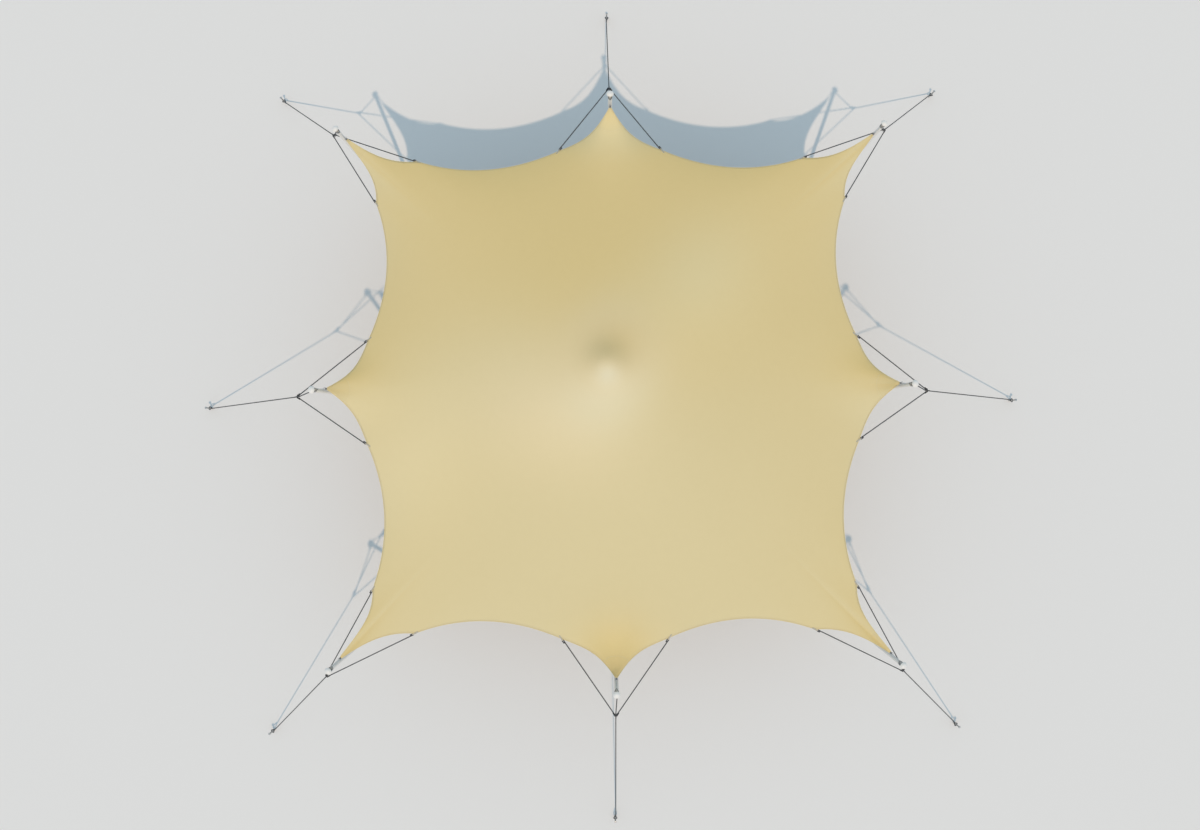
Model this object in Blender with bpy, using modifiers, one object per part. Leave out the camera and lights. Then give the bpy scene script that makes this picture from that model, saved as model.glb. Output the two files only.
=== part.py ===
"""Square stretch tent on one centre pole and eight leaning perimeter poles.

The sheet is pulled out to eight tips, four at the corners and four in the middle of the sides.
Each tip is strapped to the top of a pole that leans outward. A guy runs from the top of that pole
through a steel ring down to a stake, and two side guys run from the ring back to the sheet's edge.
Units are metres, Z is up, the ground is Z = 0. The front is -Y and the right is +X.
"""
import math

import bmesh
import bpy
from mathutils import Matrix, Vector

# Sheet. Tips, guy points and scallops are for one quadrant and are mirrored into the others.
SHEET_THICK = 0.016
TIP_HALF_WIDTH = 0.015
SHEET_SHIFT = Vector((0.0, 0.018, 0.0))
SIDE_TIP = Vector((0.0, 4.065, 2.94))
SIDE_GRIP = Vector((0.782, 3.619, 2.446))
CORNER_TIP = Vector((4.015, 3.885, 2.309))
CORNER_GRIP_BACK = Vector((2.952, 3.562, 2.236))
CORNER_GRIP_SIDE = Vector((3.580, 2.909, 2.232))
SCALLOP_DEPTH = 0.22
SCALLOP_RISE = 0.03
TIP_LIFT_POWER = 2.2
# Curve of a tip's edge: length and angle of its handle at the tip, then at the guy point.
SIDE_FLARE = (0.371, 0.696, 0.361, 0.380)
CORNER_FLARE = (0.430, 0.163, 0.392, 0.710)
PEAK = Vector((-0.095, 0.205, 4.00))
PEAK_ROUNDING = 1.98
PEAK_STRENGTH = 1.72
BUTTON_DROP = 0.175
BUTTON_RADIUS = 0.262
RIM_FADE = 8.0
TIP_STEPS = 4
SCALLOP_STEPS = 7
RING_SHARES = (0.010, 0.022, 0.036, 0.06, 0.10, 0.16, 0.24, 0.34, 0.46, 0.59, 0.71, 0.82, 0.91, 1.0)
ROUND_SHARE = 0.06
ROUND_REACH = 4.0

# Perimeter poles: where the foot stands and where the cap is, for the right and back quadrant.
POLE_RADIUS = 0.030
POLE_SIDES = 12
SIDE_FOOT = Vector((0.0, 2.86, 0.0))
SIDE_CAP = Vector((0.0, 4.28, 3.0))
CORNER_FOOT = Vector((3.165, 3.06, 0.0))
CORNER_CAP = Vector((4.18, 4.05, 2.40))
FOOT_RADIUS = 0.10
FOOT_THICK = 0.010
KNUCKLE_RADIUS = 0.042
KNUCKLE_HEIGHT = 0.045
CAP_RADIUS = 0.054
CAP_HEIGHT = 0.048
CAP_RIM = 0.014
CAP_SET_BACK = 0.025
GAP = 0.0003

# Centre pole.
CENTRE_POLE_RADIUS = 0.038
CENTRE_FOOT_RADIUS = 0.15
CENTRE_FOOT_THICK = 0.012
HEAD_RINGS = 4
HEAD_RIM = 0.02
HEAD_GAP = 0.0006
HEAD_SOCKET_RADIUS = 0.050
HEAD_SOCKET_LENGTH = 0.07

# Guys, rings and stakes.
ROPE_RADIUS = 0.008
ROPE_SIDES = 8
WIRE_RADIUS = 0.006
SIDE_RING = Vector((0.0, 4.826, 1.979))
CORNER_RING = Vector((4.477, 4.314, 1.498))
RING_RADIUS = 0.030
STRAP_COLLAR_DROP = 0.055
GUY_COLLAR_DROP = 0.088
COLLAR_RADIUS = POLE_RADIUS + WIRE_RADIUS + 0.00032
GRIP_BALL_RADIUS = 0.014
SIDE_STAKE = Vector((0.0, 7.03, 0.0))
CORNER_STAKE = Vector((5.83, 5.54, 0.0))
STAKE_RADIUS = 0.011
STAKE_LENGTH = 0.17
STAKE_TILT = math.radians(18.0)
STAKE_HEAD_RADIUS = 0.020
STAKE_HEAD_THICK = 0.012
EYE_RADIUS = 0.022
EYE_HEIGHT = 0.075
PLATE_LENGTH = 0.045
PLATE_WIDTH = 0.050
PLATE_THICK = 0.012

# Mirror signs of the eight stations, by the name of the side they stand on.
SIDE_STATIONS = {"back": (0, 1), "right": (1, 0), "front": (0, -1), "left": (-1, 0)}
CORNER_STATIONS = {"back_right": (1, 1), "front_right": (1, -1), "front_left": (-1, -1), "back_left": (-1, 1)}

for old in list(bpy.data.objects):
    bpy.data.objects.remove(old, do_unlink=True)

PARTS = bpy.data.collections.new("stretch_tent")
CUTTERS = bpy.data.collections.new("cutters")
for group in (PARTS, CUTTERS):
    bpy.context.scene.collection.children.link(group)
CUTTERS.hide_render = True


def paint(name, colour, roughness, metallic=0.0):
    """Return a plain Principled material."""
    mat = bpy.data.materials.new(name)
    mat.use_nodes = True
    shader = mat.node_tree.nodes["Principled BSDF"]
    shader.inputs["Base Color"].default_value = (*colour, 1.0)
    shader.inputs["Roughness"].default_value = roughness
    shader.inputs["Metallic"].default_value = metallic
    return mat


def add_part(name, bm, colour, roughness, metallic=0.0, place=None):
    """Turn a bmesh into a named part with its own material."""
    mesh = bpy.data.meshes.new(name)
    bm.normal_update()
    bm.to_mesh(mesh)
    bm.free()
    obj = bpy.data.objects.new(name, mesh)
    PARTS.objects.link(obj)
    mesh.materials.append(paint(name, colour, roughness, metallic))
    if place is not None:
        obj.matrix_world = place
    return obj


def aim(origin, direction):
    """Return a matrix that puts local Z along a direction."""
    turn = Vector(direction).to_track_quat("Z", "Y").to_matrix().to_4x4()
    return Matrix.Translation(origin) @ turn


def rod(start, end, radius, sides):
    """Return a bmesh cylinder between two points."""
    bm = bmesh.new()
    length = (end - start).length
    place = aim((start + end) / 2, end - start)
    bmesh.ops.create_cone(bm, cap_ends=True, cap_tris=False, segments=sides, radius1=radius,
                          radius2=radius, depth=length, matrix=place)
    return bm


def disc(centre, radius, thick, sides):
    """Return a bmesh disc that lies flat with its underside at the centre point."""
    return rod(Vector(centre), Vector(centre) + Vector((0, 0, thick)), radius, sides)


def ball(centre, radius, around=8, down=5):
    """Return a bmesh sphere."""
    bm = bmesh.new()
    bmesh.ops.create_uvsphere(bm, u_segments=around, v_segments=down, radius=radius,
                              matrix=Matrix.Translation(centre))
    return bm


def hoop(centre, axis, radius, wire, around=12, section=5):
    """Return a bmesh ring of round wire about an axis."""
    bm = bmesh.new()
    upright = Matrix.Rotation(math.pi / 2, 4, "X") @ Matrix.Rotation(math.pi / 2, 4, "Z")
    first = bmesh.ops.create_circle(bm, cap_ends=False, segments=section, radius=wire,
                                    matrix=Matrix.Translation((radius, 0, 0)) @ upright)
    bmesh.ops.spin(bm, geom=first["verts"] + bm.edges[:], cent=(0, 0, 0), axis=(0, 0, 1),
                   angle=2 * math.pi, steps=around, use_merge=True)
    bmesh.ops.remove_doubles(bm, verts=bm.verts, dist=1e-5)
    bmesh.ops.recalc_face_normals(bm, faces=bm.faces)
    bm.transform(aim(centre, axis))
    return bm


def box(size, place):
    """Return a bmesh box of a given size at a placement."""
    bm = bmesh.new()
    bmesh.ops.create_cube(bm, size=1.0, matrix=place @ Matrix.Diagonal((*size, 1.0)))
    return bm


def fuse(name, pieces, colour, roughness, metallic=0.0):
    """Make one closed part out of overlapping pieces with an exact union."""
    obj = add_part(name, pieces[0], colour, roughness, metallic)
    group = bpy.data.collections.new(name + "_pieces")
    CUTTERS.children.link(group)
    for index, piece in enumerate(pieces[1:]):
        mesh = bpy.data.meshes.new(f"{name}_piece_{index}")
        piece.to_mesh(mesh)
        piece.free()
        tool = bpy.data.objects.new(mesh.name, mesh)
        tool.display_type = "WIRE"
        tool.hide_render = True
        group.objects.link(tool)
    union = obj.modifiers.new("union", "BOOLEAN")
    union.operation = "UNION"
    union.solver = "EXACT"
    union.operand_type = "COLLECTION"
    union.collection = group
    return obj


def turned(name, profile, place, steps, colour, roughness, metallic=0.0):
    """Turn a profile of (radius, height) points about its own axis."""
    bm = bmesh.new()
    verts = [bm.verts.new((radius, 0.0, height)) for radius, height in profile]
    for first, second in zip(verts, verts[1:]):
        bm.edges.new((first, second))
    obj = add_part(name, bm, colour, roughness, metallic, place)
    screw = obj.modifiers.new("turn", "SCREW")
    screw.axis = "Z"
    screw.angle = 2 * math.pi
    screw.steps = steps
    screw.render_steps = steps
    screw.use_merge_vertices = True
    screw.merge_threshold = 0.0001
    return obj


def spread(station, point):
    """Carry a point of the back side or back right corner to another station."""
    sx, sy = station
    if sx and sy:
        return Vector((sx * point.x, sy * point.y, point.z))
    if sx:
        return Vector((sx * point.y, point.x, point.z))
    return Vector((point.x, sy * point.y, point.z))


def tip_edge(tip_point, grip, outward, flare, share):
    """Point on the flared edge of a tip, from its blunt end at 0 to the guy point at 1."""
    across = Vector((outward.y, -outward.x, 0.0))
    if grip.dot(across) < 0:
        across = -across
    tip_reach, tip_angle, grip_reach, grip_angle = flare
    start = outward * tip_point.dot(outward) + across * TIP_HALF_WIDTH
    end = outward * grip.dot(outward) + across * grip.dot(across)
    near_tip = start + (across * math.sin(tip_angle) - outward * math.cos(tip_angle)) * tip_reach
    near_grip = end + (outward * math.sin(grip_angle) - across * math.cos(grip_angle)) * grip_reach
    left = 1.0 - share
    place = start * left ** 3 + near_tip * 3 * left ** 2 * share
    place += near_grip * 3 * left * share ** 2 + end * share ** 3
    place.z = grip.z + (tip_point.z - grip.z) * left ** TIP_LIFT_POWER
    return place


def sagging(start, end, share, inward, rise):
    """Point on an edge that sags inward between two points."""
    bow = 4.0 * share * (1.0 - share)
    return start.lerp(end, share) + inward * bow + Vector((0, 0, rise * bow))


def back_half_edge(corner_grip):
    """Edge points from the side tip to just short of the corner's guy point."""
    outward = Vector((0.0, 1.0, 0.0))
    points = [tip_edge(SIDE_TIP, SIDE_GRIP, outward, SIDE_FLARE, i / TIP_STEPS) for i in range(TIP_STEPS)]
    for i in range(SCALLOP_STEPS):
        points.append(sagging(SIDE_GRIP, corner_grip, i / SCALLOP_STEPS,
                              Vector((0, -SCALLOP_DEPTH, 0)), SCALLOP_RISE))
    return points


def corner_edge(grip):
    """Edge points from the corner's blunt tip to its guy point."""
    outward = Vector((CORNER_TIP.x, CORNER_TIP.y, 0)).normalized()
    shares = [i / TIP_STEPS for i in range(TIP_STEPS + 1)]
    return [tip_edge(CORNER_TIP, grip, outward, CORNER_FLARE, share) for share in shares]


def quadrant_edge():
    """Edge of the back right quadrant, clockwise from the back tip to the right tip."""
    back = back_half_edge(CORNER_GRIP_BACK) + corner_edge(CORNER_GRIP_BACK)[::-1]
    mirrored_grip = Vector((CORNER_GRIP_SIDE.y, CORNER_GRIP_SIDE.x, CORNER_GRIP_SIDE.z))
    swapped = back_half_edge(mirrored_grip)
    right = corner_edge(CORNER_GRIP_SIDE)
    right += [Vector((p.y, p.x, p.z)) for p in swapped[::-1]]
    return back + right


def sheet_edge():
    """Edge of the whole sheet, clockwise."""
    quarter = quadrant_edge()
    edge = list(quarter)
    edge += [Vector((p.x, -p.y, p.z)) for p in quarter[::-1]]
    edge += [Vector((-p.x, -p.y, p.z)) for p in quarter]
    edge += [Vector((-p.x, p.y, p.z)) for p in quarter[::-1]]
    return [p + SHEET_SHIFT for p in edge]


def edge_outward(point):
    """Level direction that faces away from the sheet at a corner of its edge."""
    edge = sheet_edge()
    nearest = min(range(len(edge)), key=lambda i: (edge[i] - point).length)
    along = edge[(nearest + 1) % len(edge)] - edge[nearest - 1]
    return Vector((-along.y, along.x, 0.0)).normalized()


def peak_pull(radius):
    """Drop of a sheet hung from one round head, at a distance from it."""
    button = BUTTON_DROP * (1.0 - math.exp(-(radius / BUTTON_RADIUS) ** 2))
    return -PEAK_STRENGTH * math.log(math.hypot(radius, PEAK_ROUNDING) / PEAK_ROUNDING) - button


def sheet_point(edge_point, share):
    """Point on the top of the sheet: round rings by the peak, rings like the edge further out."""
    flat = Vector((edge_point.x - PEAK.x, edge_point.y - PEAK.y, 0.0))
    reach = flat.length
    blend = max(0.0, (share - ROUND_SHARE) / (1.0 - ROUND_SHARE))
    radius = share * (ROUND_REACH * (1.0 - blend) + reach * blend)
    missing = edge_point.z - (PEAK.z + peak_pull(reach))
    place = PEAK + flat * (radius / reach)
    place.z += peak_pull(radius) + missing * (radius / reach) ** RIM_FADE
    return place


def make_sheet():
    """Build the canopy as rings from peak to edge, with an even upright thickness."""
    bm = bmesh.new()
    edge = sheet_edge()
    apex = bm.verts.new(PEAK)
    rings = [[bm.verts.new(sheet_point(point, share)) for point in edge] for share in RING_SHARES]
    count = len(edge)
    for i in range(count):
        j = (i + 1) % count
        bm.faces.new((apex, rings[0][j], rings[0][i]))
        for inner, outer in zip(rings, rings[1:]):
            bm.faces.new((inner[i], inner[j], outer[j], outer[i]))
    bmesh.ops.triangulate(bm, faces=[f for f in bm.faces if len(f.verts) == 4])
    under = bmesh.ops.extrude_face_region(bm, geom=bm.faces[:], use_keep_orig=True)
    moved = [item for item in under["geom"] if isinstance(item, bmesh.types.BMVert)]
    bmesh.ops.translate(bm, verts=moved, vec=(0, 0, -SHEET_THICK))
    bmesh.ops.recalc_face_normals(bm, faces=bm.faces)
    return add_part("canopy", bm, (0.66, 0.54, 0.29), 0.75)


def pole_line(foot, cap):
    """Return the knuckle centre, the pole's end and its direction."""
    knuckle = Vector((foot.x, foot.y, KNUCKLE_HEIGHT))
    direction = (cap - knuckle).normalized()
    return knuckle, cap - direction * CAP_SET_BACK, direction


def make_pole(label, foot, cap):
    """Leaning pole with a ball knuckle on a flat foot, and its round cap."""
    knuckle, top, direction = pole_line(foot, cap)
    pieces = [rod(knuckle, top, POLE_RADIUS, POLE_SIDES),
              ball(knuckle, KNUCKLE_RADIUS, 12, 8),
              disc((foot.x, foot.y, 0.0), FOOT_RADIUS, FOOT_THICK, 20)]
    fuse("pole_" + label, pieces, (0.62, 0.60, 0.55), 0.4, 0.6)
    dome = [(CAP_RADIUS * math.sin(i * math.pi / 8), CAP_RIM + (CAP_HEIGHT - CAP_RIM) * math.cos(i * math.pi / 8))
            for i in range(5)]
    dome.append((CAP_RADIUS, 0.0))
    dome.append((0.0, 0.0))
    turned("pole_cap_" + label, dome, aim(top + direction * GAP, direction), 16, (0.85, 0.85, 0.84), 0.45)


def make_strap(label, outward, tip_point, foot, cap):
    """Collar round the pole top with a link to a plate that faces the sheet's tip."""
    _, top, direction = pole_line(foot, cap)
    centre = cap - direction * STRAP_COLLAR_DROP
    middle = tip_point - Vector((0, 0, SHEET_THICK / 2))
    plate_centre = middle + outward * (GAP + PLATE_LENGTH / 2)
    turn = Matrix((outward, Vector((0, 0, 1)).cross(outward), Vector((0, 0, 1)))).transposed().to_4x4()
    plate = box((PLATE_LENGTH, PLATE_WIDTH, PLATE_THICK), Matrix.Translation(plate_centre) @ turn)
    inward = (plate_centre - centre)
    inward -= direction * inward.dot(direction)
    link_start = centre + inward.normalized() * COLLAR_RADIUS
    pieces = [hoop(centre, direction, COLLAR_RADIUS, WIRE_RADIUS),
              rod(link_start, plate_centre, WIRE_RADIUS, ROPE_SIDES), plate]
    fuse("tip_strap_" + label, pieces, (0.10, 0.10, 0.11), 0.5, 0.4)


def stake_line(stake, outward):
    """Return the stake's foot and its direction, leaning away from the tent."""
    lean = (outward * math.sin(STAKE_TILT) + Vector((0, 0, math.cos(STAKE_TILT)))).normalized()
    return Vector((stake.x, stake.y, 0.0)), lean


def make_stake(label, stake, outward):
    """Pin that leans away from the tent, cut level with the ground, under a flat head."""
    foot, lean = stake_line(stake, outward)
    pin = rod(foot - lean * 0.05, foot + lean * STAKE_LENGTH, STAKE_RADIUS, 12)
    cut = bmesh.ops.bisect_plane(pin, geom=pin.verts[:] + pin.edges[:] + pin.faces[:], dist=1e-6,
                                 plane_co=(0, 0, 0), plane_no=(0, 0, 1), clear_inner=True)
    rim = [item for item in cut["geom_cut"] if isinstance(item, bmesh.types.BMEdge)]
    bmesh.ops.contextual_create(pin, geom=rim)
    bmesh.ops.recalc_face_normals(pin, faces=pin.faces)
    crown = foot + lean * STAKE_LENGTH
    head = rod(crown - lean * STAKE_HEAD_THICK, crown + lean * 0.002, STAKE_HEAD_RADIUS, 16)
    fuse("stake_" + label, [pin, head], (0.16, 0.16, 0.17), 0.5, 0.7)


def make_guy(label, outward, foot, cap, ring, stake, grips):
    """Guy from the pole top through the ring to the stake, with two side guys to the sheet."""
    _, top, direction = pole_line(foot, cap)
    across = Vector((0, 0, 1)).cross(outward)
    stake_foot, lean = stake_line(stake, outward)
    eye_inner = EYE_RADIUS - WIRE_RADIUS
    pin_point = stake_foot + lean * EYE_HEIGHT
    eye_out = (outward - lean * outward.dot(lean)).normalized()
    eye_centre = pin_point - eye_out * (eye_inner - STAKE_RADIUS - GAP)
    eye_start = eye_centre - eye_out * EYE_RADIUS
    down = (eye_start - ring).normalized()
    main_start = ring + down * RING_RADIUS
    axis = across.cross(down).normalized()
    collar = cap - direction * GUY_COLLAR_DROP
    out_of_pole = (ring - collar)
    out_of_pole -= direction * out_of_pole.dot(direction)
    upper_start = collar + out_of_pole.normalized() * COLLAR_RADIUS
    pieces = [hoop(ring, axis, RING_RADIUS, WIRE_RADIUS, 16),
              rod(main_start, eye_start, ROPE_RADIUS, ROPE_SIDES),
              hoop(eye_centre, lean, EYE_RADIUS, WIRE_RADIUS),
              rod(upper_start, ring - down * RING_RADIUS, ROPE_RADIUS, ROPE_SIDES),
              hoop(collar, direction, COLLAR_RADIUS, WIRE_RADIUS)]
    for grip in grips:
        end = grip - Vector((0, 0, SHEET_THICK / 2)) + edge_outward(grip) * (GRIP_BALL_RADIUS + GAP)
        side = 1.0 if (end - ring).dot(across) > 0 else -1.0
        start = ring + (across * side * 0.8 - down * 0.6) * RING_RADIUS
        pieces.append(rod(start, end, ROPE_RADIUS, ROPE_SIDES))
        pieces.append(ball(end, GRIP_BALL_RADIUS))
    fuse("guy_" + label, pieces, (0.14, 0.145, 0.15), 0.8)


def make_centre_pole():
    """Upright pole on a round foot, with a domed head under the sheet's peak."""
    head_top = PEAK.z - SHEET_THICK - HEAD_GAP
    radii = [share * ROUND_REACH for share in (0.0,) + RING_SHARES[:HEAD_RINGS]]
    profile = [(radius, peak_pull(radius)) for radius in radii]
    low = profile[-1][1] - HEAD_RIM
    profile += [(radii[-1], low), (HEAD_SOCKET_RADIUS, low), (HEAD_SOCKET_RADIUS, low - HEAD_SOCKET_LENGTH),
                (0.0, low - HEAD_SOCKET_LENGTH)]
    turned("centre_pole_head", profile, Matrix.Translation((PEAK.x, PEAK.y, head_top)), 24, (0.30, 0.28, 0.25), 0.6)
    foot_centre = Vector((PEAK.x, PEAK.y, 0.0))
    bottom = foot_centre + Vector((0, 0, CENTRE_FOOT_THICK + GAP))
    top = Vector((PEAK.x, PEAK.y, head_top + low - HEAD_SOCKET_LENGTH - GAP))
    add_part("centre_pole", rod(bottom, top, CENTRE_POLE_RADIUS, 20), (0.62, 0.60, 0.55), 0.4, 0.6)
    add_part("centre_pole_foot", disc(foot_centre, CENTRE_FOOT_RADIUS, CENTRE_FOOT_THICK, 28),
             (0.45, 0.45, 0.45), 0.5, 0.6)


def make_side_station(name, station):
    """Everything that holds the tip in the middle of one side."""
    foot, cap, ring, stake = (spread(station, p) for p in (SIDE_FOOT, SIDE_CAP, SIDE_RING, SIDE_STAKE))
    tip_point = spread(station, SIDE_TIP) + SHEET_SHIFT
    outward = Vector((station[0], station[1], 0))
    other = Vector((-SIDE_GRIP.x, SIDE_GRIP.y, SIDE_GRIP.z))
    grips = [spread(station, point) + SHEET_SHIFT for point in (SIDE_GRIP, other)]
    make_pole(name, foot, cap)
    make_strap(name, outward, tip_point, foot, cap)
    make_stake(name, stake, outward)
    make_guy(name, outward, foot, cap, ring, stake, grips)


def make_corner_station(name, station):
    """Everything that holds one corner tip."""
    foot, cap, ring, stake = (spread(station, p) for p in
                              (CORNER_FOOT, CORNER_CAP, CORNER_RING, CORNER_STAKE))
    tip_point = spread(station, CORNER_TIP)
    outward = Vector((tip_point.x, tip_point.y, 0)).normalized()
    tip_point = tip_point + SHEET_SHIFT
    grips = [spread(station, point) + SHEET_SHIFT for point in (CORNER_GRIP_BACK, CORNER_GRIP_SIDE)]
    make_pole(name, foot, cap)
    make_strap(name, outward, tip_point, foot, cap)
    make_stake(name, stake, outward)
    make_guy(name, outward, foot, cap, ring, stake, grips)


make_sheet()
make_centre_pole()
for station_name, signs in SIDE_STATIONS.items():
    make_side_station(station_name, signs)
for station_name, signs in CORNER_STATIONS.items():
    make_corner_station(station_name, signs)
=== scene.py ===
# %% [markdown]
# # A square stretch tent, from the frame up
# A stretch tent is one sheet of elastic cloth. A centre pole lifts it to a soft peak, and eight leaning
# poles pull it out to tips. Every pole top is held by a guy that runs through a steel ring to a stake.
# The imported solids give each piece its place, so this script only makes the pieces look like the real
# ones: cloth, rope, webbing, tube and steel, each in the space that its solid holds.

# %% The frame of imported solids
import math

import bmesh
import bpy
from mathutils import Matrix, Vector
from mathutils.bvhtree import BVHTree


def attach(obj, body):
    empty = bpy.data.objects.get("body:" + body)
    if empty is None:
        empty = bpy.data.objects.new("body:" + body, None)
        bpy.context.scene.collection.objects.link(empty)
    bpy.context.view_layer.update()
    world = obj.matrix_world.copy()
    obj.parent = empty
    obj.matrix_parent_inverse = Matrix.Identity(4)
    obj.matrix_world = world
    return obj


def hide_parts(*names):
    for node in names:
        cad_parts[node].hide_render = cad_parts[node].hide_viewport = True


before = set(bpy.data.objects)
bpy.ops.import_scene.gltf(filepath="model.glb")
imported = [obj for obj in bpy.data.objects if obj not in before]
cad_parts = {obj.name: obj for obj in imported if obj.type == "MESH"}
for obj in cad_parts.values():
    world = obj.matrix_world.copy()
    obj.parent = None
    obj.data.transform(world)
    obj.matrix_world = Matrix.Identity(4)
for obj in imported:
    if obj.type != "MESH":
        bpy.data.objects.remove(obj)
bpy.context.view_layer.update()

# %% [markdown]
# ## The camera
# The picture looks straight down from fifteen metres, tipped back by four degrees, through a wide lens.
# A camera could be aimed at a target, but a target hides the small roll that a hand-held view has. Here
# the three turns are written out, and the lens is the focal length that the poles' spread asks for.

# %% Camera
PICTURE_WIDTH = 1200
FOCAL_PIXELS = 847.27
EYE = Vector((-0.194, -1.266, 14.916))
YAW, PITCH, ROLL = -0.0099, 0.0725, 0.0006

lens = bpy.data.cameras.new("top_view")
lens.sensor_width = 36.0
lens.lens = FOCAL_PIXELS / PICTURE_WIDTH * lens.sensor_width
lens.clip_start = 0.1
lens.clip_end = 400.0
camera = bpy.data.objects.new("top_view", lens)
turns = Matrix.Rotation(YAW, 4, "Z") @ Matrix.Rotation(PITCH, 4, "X") @ Matrix.Rotation(ROLL, 4, "Y")
camera.matrix_world = Matrix.Translation(EYE) @ turns
bpy.context.scene.collection.objects.link(camera)
bpy.context.scene.camera = camera
print("lens of", round(lens.lens, 2), "mm")

# %% [markdown]
# ## Light
# One broad light stands high in front, and a pale cool surround fills the shadows. A point lamp would
# give hard edges. A sun lamp of a few degrees across gives the soft edge that a large studio panel does.

# %% Light and surround
LIGHT_TRAVEL = Vector((-0.0186, 0.6919, -1.0))
LIGHT_SPREAD = math.radians(1.1)
LIGHT_POWER = 1.60
LIGHT_COLOUR = (0.970, 0.720, 0.523)
SURROUND_COLOUR = (0.474, 0.588, 0.664)

panel = bpy.data.lights.new("studio_panel", "SUN")
panel.energy = LIGHT_POWER
panel.color = LIGHT_COLOUR
panel.angle = LIGHT_SPREAD
studio_panel = bpy.data.objects.new("studio_panel", panel)
studio_panel.rotation_mode = "QUATERNION"
studio_panel.rotation_quaternion = LIGHT_TRAVEL.to_track_quat("-Z", "Y")
bpy.context.scene.collection.objects.link(studio_panel)

surround = bpy.data.worlds.new("surround")
surround.use_nodes = True
surround.node_tree.nodes["Background"].inputs["Color"].default_value = (*SURROUND_COLOUR, 1.0)
bpy.context.scene.world = surround
bpy.context.scene.view_settings.view_transform = "Standard"
print("light falls at", round(math.degrees(math.asin(-LIGHT_TRAVEL.normalized().z)), 1), "degrees")

# %% [markdown]
# ## Writing a finish as sums
# A finish is a graph of nodes. Wiring it link by link is slow to read, so one small class wraps a
# socket and takes Python's operators: adding two wrapped sockets adds a Math node. Every other node
# comes from one method that takes its type, its settings and what goes into its sockets.


# %% Sockets that can be added and multiplied
class Signal:
    """An output socket that answers to Python's operators."""

    def __init__(self, finish, socket):
        self.finish = finish
        self.socket = socket

    def _math(self, operation, *values):
        return self.finish.node("ShaderNodeMath", {"operation": operation}, dict(enumerate(values)))

    def __add__(self, other):
        return self._math("ADD", self, other)

    def __sub__(self, other):
        return self._math("SUBTRACT", self, other)

    def __rsub__(self, other):
        return self._math("SUBTRACT", other, self)

    def __mul__(self, other):
        return self._math("MULTIPLY", self, other)

    def __truediv__(self, other):
        return self._math("DIVIDE", self, other)

    def __pow__(self, other):
        return self._math("POWER", self, other)

    def __abs__(self):
        return self._math("ABSOLUTE", self)

    __radd__ = __add__
    __rmul__ = __mul__

    def sine(self):
        return self._math("SINE", self)

    def below(self, limit, soft):
        """One where the value is under a limit, falling to nought over a soft step."""
        return self.finish.node("ShaderNodeMapRange", {"interpolation_type": "SMOOTHSTEP"},
                                {0: self, 1: limit - soft, 2: limit + soft, 3: 1.0, 4: 0.0})


class Finish:
    """A node material made from sums."""

    def __init__(self, name, colour, roughness, metallic=0.0):
        self.material = bpy.data.materials.new(name)
        self.material.use_nodes = True
        self.tree = self.material.node_tree
        self.skin = self.tree.nodes["Principled BSDF"].inputs
        self.skin["Base Color"].default_value = (*colour, 1.0)
        self.skin["Roughness"].default_value = roughness
        self.skin["Metallic"].default_value = metallic

    def plug(self, socket, value):
        if isinstance(value, Signal):
            self.tree.links.new(value.socket, socket)
        else:
            socket.default_value = value

    def node(self, kind, settings=None, inputs=None, output=0):
        made = self.tree.nodes.new(kind)
        for key, value in (settings or {}).items():
            setattr(made, key, value)
        for key, value in (inputs or {}).items():
            self.plug(made.inputs[key], value)
        return Signal(self, made.outputs[output])

    def place(self):
        return self.node("ShaderNodeTexCoord", output="Object")

    def mark(self, name):
        """The three numbers that a mesh keeps under a name, as separate values."""
        spot = self.node("ShaderNodeAttribute", {"attribute_name": name}, output="Vector")
        parts = self.node("ShaderNodeSeparateXYZ", None, {0: spot})
        return [Signal(self, socket) for socket in parts.socket.node.outputs]

    def noise(self, where, scale, detail=2.0, rough=0.5):
        return self.node("ShaderNodeTexNoise", None, {"Vector": where, "Scale": scale, "Detail": detail,
                                                      "Roughness": rough})

    def mix(self, share, first, second, blend="MIX"):
        return self.node("ShaderNodeMix", {"data_type": "RGBA", "blend_type": blend},
                         {0: share, 6: first, 7: second}, 2)

    def spot(self, x, y, centre, reach, turn=0.0):
        """One at a point of the plan, falling off like a bell over a reach each way, turned if need be."""
        across, along = x - centre[0], y - centre[1]
        first = across * (math.cos(turn) / reach[0]) + along * (math.sin(turn) / reach[0])
        second = along * (math.cos(turn) / reach[1]) - across * (math.sin(turn) / reach[1])
        return self.node("ShaderNodeMath", {"operation": "EXPONENT"}, {0: (first * first + second * second) * -1.0})

    def relief(self, height, distance, under=None):
        inputs = {"Height": height, "Distance": distance, "Strength": 1.0}
        if under is not None:
            inputs["Normal"] = under
        return self.node("ShaderNodeBump", None, inputs)


def colour(red, green, blue):
    """A colour socket's four numbers."""
    return (red, green, blue, 1.0)


print("finishes are written as sums")

# %% [markdown]
# ## From a bmesh to a piece
# Every piece is modelled as a bmesh that is already in its place, so its object can stay at the origin.
# This helper closes the work: it makes the mesh, smooths it except at real edges, hangs the piece on the
# root, and hides the solids that it stands for.

# %% Settling a piece
SHARP_ANGLE = math.radians(38)


def settle(name, bm, finishes, slot, *nodes, sharp=SHARP_ANGLE):
    """Turn a finished bmesh into a piece that rides on the frame."""
    mesh = bpy.data.meshes.new(name)
    bm.normal_update()
    bm.to_mesh(mesh)
    bm.free()
    mesh.shade_smooth()
    mesh.set_sharp_from_angle(angle=sharp)
    for finish in finishes:
        mesh.materials.append(finish)
    piece = bpy.data.objects.new(name, mesh)
    bpy.context.scene.collection.objects.link(piece)
    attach(piece, "root")
    if nodes:
        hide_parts(*nodes)
    return piece


def new_mesh():
    """An empty bmesh that keeps, on each vertex, where it lies on a rope or band."""
    bm = bmesh.new()
    bm.verts.layers.float_vector.new("lay")
    return bm


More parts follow.
